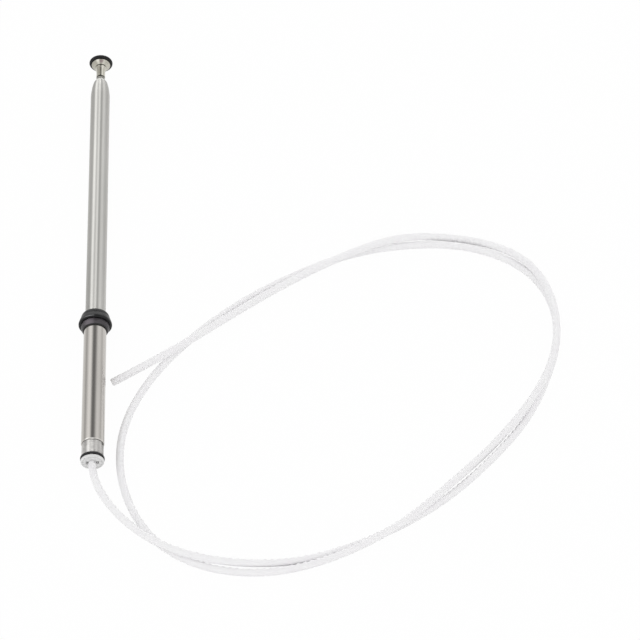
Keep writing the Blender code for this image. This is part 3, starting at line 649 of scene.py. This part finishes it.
def cord_curve(readings=4000):
    """The cubic spline through the route's points, leaving the foot straight, read finely."""
    knots = np.array(CORD_ROUTE)
    steps = np.linalg.norm(np.diff(knots, axis=0), axis=1)
    slopes = np.diff(knots, axis=0) / steps[:, None]
    at = np.concatenate([[0.0], np.cumsum(steps)])
    size = len(knots)
    system = np.zeros((size, size))
    right = np.zeros((size, 3))
    system[0, 0] = 2 * steps[0]
    system[0, 1] = steps[0]
    right[0] = 6 * (slopes[0] - np.array(CORD_START_DIRECTION))
    system[-1, -1] = 1.0
    for i in range(1, size - 1):
        system[i, i - 1] = steps[i - 1]
        system[i, i] = 2 * (steps[i - 1] + steps[i])
        system[i, i + 1] = steps[i]
        right[i] = 6 * (slopes[i] - slopes[i - 1])
    bend = np.linalg.solve(system, right)
    where = np.linspace(0.0, at[-1], readings)
    piece = np.clip(np.searchsorted(at, where, side="right") - 1, 0, size - 2)
    step = steps[piece][:, None]
    after = (where - at[piece])[:, None]
    before = step - after
    curve = bend[piece] * before**3 / (6 * step) + bend[piece + 1] * after**3 / (6 * step)
    curve += (knots[piece] / step - bend[piece] * step / 6) * before
    curve += (knots[piece + 1] / step - bend[piece + 1] * step / 6) * after
    curve[:, 1] += FOOT_Y
    inside = np.array([[0.0, FOOT_Y + CORD_TOP - k, AXIS_HEIGHT] for k in np.arange(0.0, CORD_TOP, 1.0)])
    curve = np.concatenate([inside, curve])
    curve[:, 2] = np.maximum(curve[:, 2], CORD_RADIUS)
    return curve


def make_cord():
    """A round nylon cord with rack teeth cut along the side that faces the middle of its turns."""
    curve = cord_curve()
    run = np.concatenate([[0.0], np.cumsum(np.linalg.norm(np.diff(curve, axis=0), axis=1))])
    length = run[-1]
    places = []
    depths = []
    for tooth in range(int(length / TOOTH_PITCH)):
        for share, rise in TOOTH_RISE:
            places.append((tooth + share) * TOOTH_PITCH)
            depths.append(TOOTH_FLAT + (TOOTH_DEPTH - TOOTH_FLAT) * rise)
    whole = sum(place < length - END_ROUND[0][0] for place in places)
    places = np.array(places[:whole] + [length - back for back, _ in END_ROUND])
    depths = np.array(depths[:whole] + [TOOTH_FLAT] * len(END_ROUND))
    girth = np.array([1.0] * whole + [share for _, share in END_ROUND])
    centres = np.stack([np.interp(places, run, curve[:, k]) for k in range(3)], axis=1)
    ahead = np.stack([np.interp(np.minimum(places + 1, length), run, curve[:, k]) for k in range(3)], axis=1)
    behind = np.stack([np.interp(np.maximum(places - 1, 0), run, curve[:, k]) for k in range(3)], axis=1)
    tangents = ahead - behind
    tangents /= np.linalg.norm(tangents, axis=1)[:, None]
    inward = np.array([LOOP_CENTRE[0], LOOP_CENTRE[1] + FOOT_Y, 0.0]) - centres
    inward[:, 2] = 0.0
    inward -= tangents * np.sum(inward * tangents, axis=1)[:, None]
    inward /= np.linalg.norm(inward, axis=1)[:, None]
    lift = math.radians(TOOTH_LIFT)
    up = np.cross(tangents, inward)
    up *= np.sign(up[:, 2])[:, None]
    teeth = math.cos(lift) * inward + math.sin(lift) * up
    across = np.cross(tangents, teeth)
    angles = 2 * np.pi * (np.arange(CORD_SIDES) + 0.5) / CORD_SIDES
    out = CORD_RADIUS * np.cos(angles)
    side = CORD_RADIUS * np.sin(angles)
    out = np.minimum(out[None, :], CORD_RADIUS - depths[:, None]) * girth[:, None]
    side = side[None, :] * girth[:, None]
    rings = centres[:, None, :] + out[:, :, None] * teeth[:, None, :] + side[:, :, None] * across[:, None, :]
    verts = rings.reshape(-1, 3).tolist()
    faces = []
    rows = len(places)
    for i in range(rows - 1):
        a = i * CORD_SIDES
        b = a + CORD_SIDES
        for j in range(CORD_SIDES):
            k = (j + 1) % CORD_SIDES
            faces.append((a + j, b + j, b + k, a + k))
    faces.append(tuple(range(CORD_SIDES)))
    faces.append(tuple((rows - 1) * CORD_SIDES + j for j in range(CORD_SIDES))[::-1])
    cord = make_mesh("toothed_cord", verts, faces, CORD_CREASE)
    fit(cord, cord_nylon, "outer", "drive_cord")
    print("cord length, mm:", round(length, 1))


make_cord()


# The mast's own pieces, each in place of its plain solid


def turned(name, outline, body, node, material, sides=SIDES, closed=True, crease=CREASE):
    """A turned piece in place of its solid."""
    obj = revolve(name, rounded(outline, FILLET, closed=closed), sides, closed, crease)
    fit(obj, material, body, node)


def make_outer_tube():
    """The satin tube, swaged in at its top to a mouth that the middle tube runs through."""
    bottom, top, radius = span("outer_tube")
    bore = radius - OUTER_WALL
    outline = [
        (3.3, top),
        (3.53, top - 0.2),
        (4.39, top - 3.7, 1.0),
        (radius, top - 9.2, 1.6),
        (radius, bottom),
        (bore, bottom),
        (bore, top - 9.6, 0.8),
        (3.99, top - 4.1, 0.6),
        (3.15, top - 0.8, 0.3),
        (3.15, top),
    ]
    turned("outer_tube_satin", outline, "outer", "outer_tube", satin_nickel)


def make_thin_tube(name, node, body, mouth_bore):
    """One of the thin sections, its rim rolled in to the mouth's bore at the top."""
    bottom, top, radius = span(node)
    bore = radius - THIN_WALL
    outline = [
        (mouth_bore + 0.2, top),
        (mouth_bore + 0.3, top - 0.18),
        (radius - 0.1, top - 0.8, 0.2),
        (radius, top - 2.0, 0.4),
        (radius, bottom, 0.05),
        (bore, bottom, 0.05),
        (bore, top - 2.3, 0.3),
        (mouth_bore + 0.1, top - 1.0, 0.2),
        (mouth_bore, top - 0.6),
        (mouth_bore, top, 0.05),
    ]
    turned(name, outline, body, node, polished_steel)


def make_rod():
    """The thinnest section, a solid rod with broken edges."""
    bottom, top, radius = span("tip_rod")
    outline = [
        (0.0, top),
        (radius - 0.15, top),
        (radius, top - 0.15),
        (radius, bottom + 0.15),
        (radius - 0.15, bottom),
        (0.0, bottom),
    ]
    turned(
        "tip_rod_polished",
        outline,
        "tip",
        "tip_rod",
        polished_steel,
        sides=ROD_SIDES,
        closed=False,
    )


def make_ferrule():
    """The turned end piece: a grooved barrel with a spigot that goes up inside the outer tube."""
    bottom, spigot_top, radius = span("ferrule")
    shoulder = span("outer_tube")[0] - SEAT_GAP
    spigot = 4.54
    groove = radius - 0.18
    outline = [
        (spigot - 0.2, spigot_top),
        (spigot, spigot_top - 0.2),
        (spigot, shoulder, 0.05),
        (radius - 0.15, shoulder),
        (radius, shoulder - 0.15),
        (radius, bottom + 4.9),
        (groove, bottom + 4.72),
        (groove, bottom + 4.2),
        (radius, bottom + 4.0),
        (radius, bottom + 1.5, 0.05),
        (radius - 0.1, bottom + 1.4, 0.05),
        (radius - 0.1, bottom + 1.2, 0.05),
        (radius, bottom + 1.1, 0.05),
        (radius, bottom + 0.3),
        (radius - 0.25, bottom),
        (FERRULE_BORE, bottom),
        (FERRULE_BORE, spigot_top),
    ]
    turned("ferrule_turned", outline, "outer", "ferrule", turned_nickel)


def make_gasket():
    """The soft ring between the ferrule and the bush, its edge well rounded."""
    bottom, top, radius = span("gasket_ring")
    outline = [
        (radius, top - 0.2, 0.3),
        (radius, bottom + 0.2, 0.3),
        (radius - 0.5, bottom, 0.2),
        (FERRULE_BORE, bottom),
        (FERRULE_BORE, top),
        (radius - 0.5, top, 0.2),
    ]
    turned("gasket_soft", outline, "outer", "gasket_ring", black_rubber)


def make_sleeve():
    """The bright sliding tube, flared at its top inside the collar and rolled in at its lower end."""
    bottom, top, flare = span("sleeve_tube")
    rolled_in = 5.12
    outline = [
        (flare, top),
        (flare, top - 3.4, 0.4),
        (SLEEVE_RADIUS, top - 4.4, 0.4),
        (SLEEVE_RADIUS, bottom + 0.25, 0.12),
        (SLEEVE_RADIUS - 0.2, bottom),
        (rolled_in, bottom, 0.05),
        (rolled_in, bottom + 0.3),
        (SLEEVE_BORE, bottom + 0.6),
        (SLEEVE_BORE, top - 4.4, 0.3),
        (flare - THIN_WALL, top - 3.4, 0.3),
        (flare - THIN_WALL, top),
    ]
    turned("sleeve_bright", outline, "sleeve", "sleeve_tube", sleeve_nickel)


def make_collar():
    """The black collar: a dome, a small step and the flange that the mast lies on."""
    bottom, top, flange = span("collar")
    cavity = span("sleeve_tube")[2] + CRIMP_GAP
    seat = span("collar_seal")[2] + CRIMP_GAP
    outline = [
        (5.7, top, 0.15),
        (6.12, top - 0.18, 0.3),
        (6.69, top - 0.67, 0.4),
        (7.0, top - 1.47, 0.5),
        (7.22, top - 2.5, 0.3),
        (7.28, top - 2.95, 0.06),
        (7.5, top - 3.2, 0.12),
        (7.86, top - 4.3, 0.4),
        (8.12, top - 5.1, 0.4),
        (flange, top - 5.75, 0.4),
        (flange - 0.06, bottom + 0.3, 0.15),
        (flange - 0.36, bottom, 0.12),
        (seat, bottom, 0.05),
        (seat, bottom + 0.3, 0.05),
        (cavity, bottom + 0.3, 0.05),
        (cavity, top - 0.8, 0.05),
        (SLEEVE_BORE, top - 0.8),
        (SLEEVE_BORE, top - 0.15),
        (5.4, top),
    ]
    turned(
        "collar_moulded",
        outline,
        "sleeve",
        "collar",
        black_plastic,
        sides=BROAD_SIDES,
        crease=COLLAR_CREASE,
    )


def make_seal():
    """The soft ring under the collar: a stepped rim and a lip drawn in to the sleeve."""
    bottom, top, radius = span("collar_seal")
    bore = SLEEVE_RADIUS + CRIMP_GAP
    outline = [
        (radius - 0.15, top, 0.1),
        (radius, top - 0.2, 0.1),
        (radius, top - 1.6, 0.1),
        (radius - 0.14, top - 1.75, 0.08),
        (radius - 0.14, top - 2.1, 0.2),
        (6.55, top - 2.55, 0.15),
        (6.45, top - 2.65, 0.1),
        (6.3, top - 3.25, 0.3),
        (5.92, bottom + 0.35, 0.12),
        (bore, bottom + 0.35),
        (bore, top - 0.3, 0.05),
        (bore + 0.3, top, 0.05),
    ]
    turned("seal_soft", outline, "sleeve", "collar_seal", seal_rubber, sides=BROAD_SIDES)


def make_stem():
    """The button's bright underside: a stem that widens to a neck, under a shallow cone."""
    bottom, top, rim = span("cap_stem")
    cone_bottom = bottom + CONE_HEIGHT
    rim_top = span("cap")[0] - SEAT_GAP
    socket = span("tip_rod")[2] + CRIMP_GAP
    outline = [
        (0.0, top),
        (STEM_RADIUS, top),
        (STEM_RADIUS, rim_top, 0.05),
        (rim - 0.5, rim_top),
        (rim - 0.35, rim_top - 0.12),
        (rim - 0.35, rim_top - 0.34),
        (rim - 0.7, rim_top - 0.75, 0.3),
        (2.95, cone_bottom + 0.42, 0.2),
        (2.55, cone_bottom + 0.3, 0.05),
        (2.55, cone_bottom, 0.05),
        (2.88, cone_bottom),
        (2.82, cone_bottom - 0.5, 0.3),
        (2.5, cone_bottom - 1.7, 0.9),
        (STEM_RADIUS, cone_bottom - 3.3, 0.8),
        (STEM_RADIUS, bottom + 0.15),
        (STEM_RADIUS - 0.15, bottom),
        (socket, bottom, 0.05),
        (socket, bottom + 6.0, 0.05),
        (0.0, bottom + 6.0),
    ]
    turned("stem_turned", outline, "tip", "cap_stem", stem_nickel, closed=False)


def make_cap():
    """The black button, a low dome with a thick rounded rim."""
    bottom, top, radius = span("cap")
    socket = STEM_RADIUS + CRIMP_GAP
    outline = [
        (0.0, top),
        (1.3, top - 0.06, 0.6),
        (2.6, top - 0.28, 0.6),
        (3.9, top - 0.66, 0.6),
        (5.0, top - 1.12, 0.5),
        (5.75, top - 1.5, 0.4),
        (radius, top - 2.0, 0.4),
        (radius, bottom + 0.7, 0.35),
        (radius - 0.35, bottom + 0.15, 0.3),
        (radius - 0.85, bottom, 0.15),
        (socket, bottom, 0.05),
        (socket, bottom + 1.2, 0.05),
        (0.0, bottom + 1.2),
    ]
    turned(
        "cap_moulded",
        outline,
        "tip",
        "cap",
        black_plastic,
        sides=BROAD_SIDES,
        closed=False,
    )


# The slot across the foot, along X, the mast and Z, half of it outside
SLOT_SIZE = (6.3, 3.2, 2.4)
SLOT_EDGE = 0.25


def make_end_bush():
    """The flanged bush in the foot, with a stepped face and a slot across the cord's bore."""
    plug_top = span("end_bush")[1]
    flange_top = span("gasket_ring")[0] - SEAT_GAP
    radius = span("end_bush")[2]
    bore = CORD_RADIUS + RUN_GAP
    outline = [
        (bore, plug_top),
        (BUSH_PLUG_RADIUS - 0.15, plug_top),
        (BUSH_PLUG_RADIUS, plug_top - 0.15),
        (BUSH_PLUG_RADIUS, flange_top, 0.02),
        (radius - 0.15, flange_top, 0.05),
        (radius, flange_top - 0.15, 0.12),
        (radius, 0.3, 0.2),
        (radius - 0.25, 0.0, 0.15),
        (4.95, 0.0, 0.05),
        (4.9, 0.3, 0.05),
        (4.5, 0.3, 0.05),
        (4.45, 0.0, 0.05),
        (bore + 0.15, 0.0),
        (bore, 0.15),
    ]
    bush = revolve("bush_moulded", rounded(outline, FILLET))
    work = bmesh.new()
    bmesh.ops.create_cube(work, size=1.0)
    bmesh.ops.scale(work, vec=[v * MM for v in SLOT_SIZE], verts=work.verts)
    bmesh.ops.bevel(work, geom=list(work.edges), offset=SLOT_EDGE * MM, segments=2, affect="EDGES")
    bmesh.ops.translate(work, vec=(0, FOOT_Y * MM, AXIS_HEIGHT * MM), verts=work.verts)
    mesh = bpy.data.meshes.new("slot")
    work.to_mesh(mesh)
    work.free()
    slot = bpy.data.objects.new("slot", mesh)
    bpy.context.scene.collection.objects.link(slot)
    cut = bush.modifiers.new("slot", "BOOLEAN")
    cut.operation = "DIFFERENCE"
    cut.solver = "EXACT"
    cut.object = slot
    bpy.context.view_layer.update()
    done = bpy.data.meshes.new_from_object(bush.evaluated_get(bpy.context.evaluated_depsgraph_get()))
    bush.modifiers.clear()
    bush.data = done
    bpy.data.objects.remove(slot, do_unlink=True)
    done.shade_smooth()
    done.set_sharp_from_angle(angle=math.radians(CREASE))
    fit(bush, pale_nylon, "outer", "end_bush")


make_outer_tube()
make_thin_tube("middle_tube_polished", "middle_tube", "middle", span("inner_tube")[2] + RUN_GAP)
make_thin_tube("inner_tube_polished", "inner_tube", "inner", span("tip_rod")[2] + RUN_GAP)
make_rod()
make_ferrule()
make_gasket()
make_sleeve()
make_collar()
make_seal()
make_stem()
make_cap()
make_end_bush()


# The solids that stay as they are

for node, material in (
    ("wiper_ring", black_rubber),
    ("sleeve_contact", spring_bronze),
    ("middle_foot", foot_brass),
    ("middle_contact", spring_bronze),
    ("inner_foot", foot_brass),
    ("inner_contact", spring_bronze),
    ("rod_foot", foot_brass),
    ("rod_contact", spring_bronze),
    ("cord_anchor", foot_brass),
):
    for material_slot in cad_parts[node].material_slots:
        material_slot.material = material


# Floor and light

FLOOR_SIZE = 8.0
FLOOR_WHITE = 0.97
PAPER_GREY = 0.92
WHITE = (1, 1, 1, 1)

# What the metal reflects, by the angle round the mast: 0 is overhead, -90 towards -X and 90 towards +X
STUDIO = [
    (-180.0, 0.8),
    (-90.0, 0.68),
    (-70.0, 0.76),
    (-38.0, 1.22),
    (-28.0, 1.08),
    (-14.0, 0.46),
    (0.0, 0.22),
    (20.0, 0.46),
    (48.0, 0.98),
    (84.0, 0.74),
    (115.0, 0.95),
    (180.0, 0.8),
]
STUDIO_TOP = 2.0

# The light from behind the camera and low down beyond the button's end, which the mast's sides don't mirror,
# and how far along Y each fades in
FRONT_LEVEL = 0.99
FRONT_FADE = (0.38, 0.12)
BACK_LEVEL = 1.8
BACK_FADE = (0.78, 0.92)


def emptied(holder):
    """The node tree of a material or world, with nothing in it."""
    holder.use_nodes = True
    holder.node_tree.nodes.clear()
    return holder.node_tree


def make_floor():
    """Pale paper that camera and reflections see as plain white, and that keeps the object's shadow."""
    half = FLOOR_SIZE / 2
    square = [(-half, -half, 0), (half, -half, 0), (half, half, 0), (-half, half, 0)]
    mesh = bpy.data.meshes.new("floor")
    mesh.from_pydata(square, [], [(0, 1, 2, 3)])
    floor = bpy.data.objects.new("floor", mesh)
    bpy.context.scene.collection.objects.link(floor)

    paper = bpy.data.materials.new("floor_paper")
    mesh.materials.append(paper)
    tree = emptied(paper)
    grey = (PAPER_GREY, PAPER_GREY, PAPER_GREY, 1)
    diffuse = new_node(tree, "ShaderNodeBsdfDiffuse", [("Color", grey)])
    glow = new_node(tree, "ShaderNodeEmission", [("Color", WHITE), ("Strength", 1.0)])
    path = new_node(tree, "ShaderNodeLightPath")
    seen = path.outputs["Is Camera Ray"]
    for ray in ("Is Glossy Ray", "Is Transmission Ray"):
        either = new_node(tree, "ShaderNodeMath", operation="MAXIMUM")
        tree.links.new(seen, either.inputs[0])
        tree.links.new(path.outputs[ray], either.inputs[1])
        seen = either.outputs[0]
    share = new_node(tree, "ShaderNodeMath", [(1, FLOOR_WHITE)], operation="MULTIPLY")
    mix = new_node(tree, "ShaderNodeMixShader")
    output = new_node(tree, "ShaderNodeOutputMaterial")
    tree.links.new(seen, share.inputs[0])
    tree.links.new(share.outputs[0], mix.inputs[0])
    tree.links.new(diffuse.outputs[0], mix.inputs[1])
    tree.links.new(glow.outputs[0], mix.inputs[2])
    tree.links.new(mix.outputs[0], output.inputs["Surface"])


def make_studio():
    """The world: soft light by the angle round the mast, and plain white to the camera."""
    world = bpy.data.worlds.new("studio")
    bpy.context.scene.world = world
    sky = emptied(world)
    direction = new_node(sky, "ShaderNodeTexCoord")
    split = new_node(sky, "ShaderNodeSeparateXYZ")
    turn = new_node(sky, "ShaderNodeMath", operation="ARCTAN2")
    sky.links.new(direction.outputs["Generated"], split.inputs[0])
    sky.links.new(split.outputs["X"], turn.inputs[0])
    sky.links.new(split.outputs["Z"], turn.inputs[1])
    level = curve_of(sky, turn.outputs[0], STUDIO, STUDIO_TOP)
    for end_level, (fade_from, fade_to) in ((FRONT_LEVEL, FRONT_FADE), (BACK_LEVEL, BACK_FADE)):
        fade = new_node(sky, "ShaderNodeMapRange", [("From Min", fade_from), ("From Max", fade_to)])
        mix = new_node(sky, "ShaderNodeMix", [(3, end_level)], data_type="FLOAT")
        sky.links.new(split.outputs["Y"], fade.inputs["Value"])
        sky.links.new(fade.outputs["Result"], mix.inputs[0])
        sky.links.new(level, mix.inputs[2])
        level = mix.outputs[0]
    light = new_node(sky, "ShaderNodeBackground", [("Color", WHITE)])
    white = new_node(sky, "ShaderNodeBackground", [("Color", WHITE), ("Strength", 1.0)])
    path = new_node(sky, "ShaderNodeLightPath")
    choose = new_node(sky, "ShaderNodeMixShader")
    output = new_node(sky, "ShaderNodeOutputWorld")
    sky.links.new(level, light.inputs["Strength"])
    sky.links.new(path.outputs["Is Camera Ray"], choose.inputs[0])
    sky.links.new(light.outputs[0], choose.inputs[1])
    sky.links.new(white.outputs[0], choose.inputs[2])
    sky.links.new(choose.outputs[0], output.inputs["Surface"])


make_floor()
make_studio()

bpy.context.scene.view_settings.view_transform = "Standard"
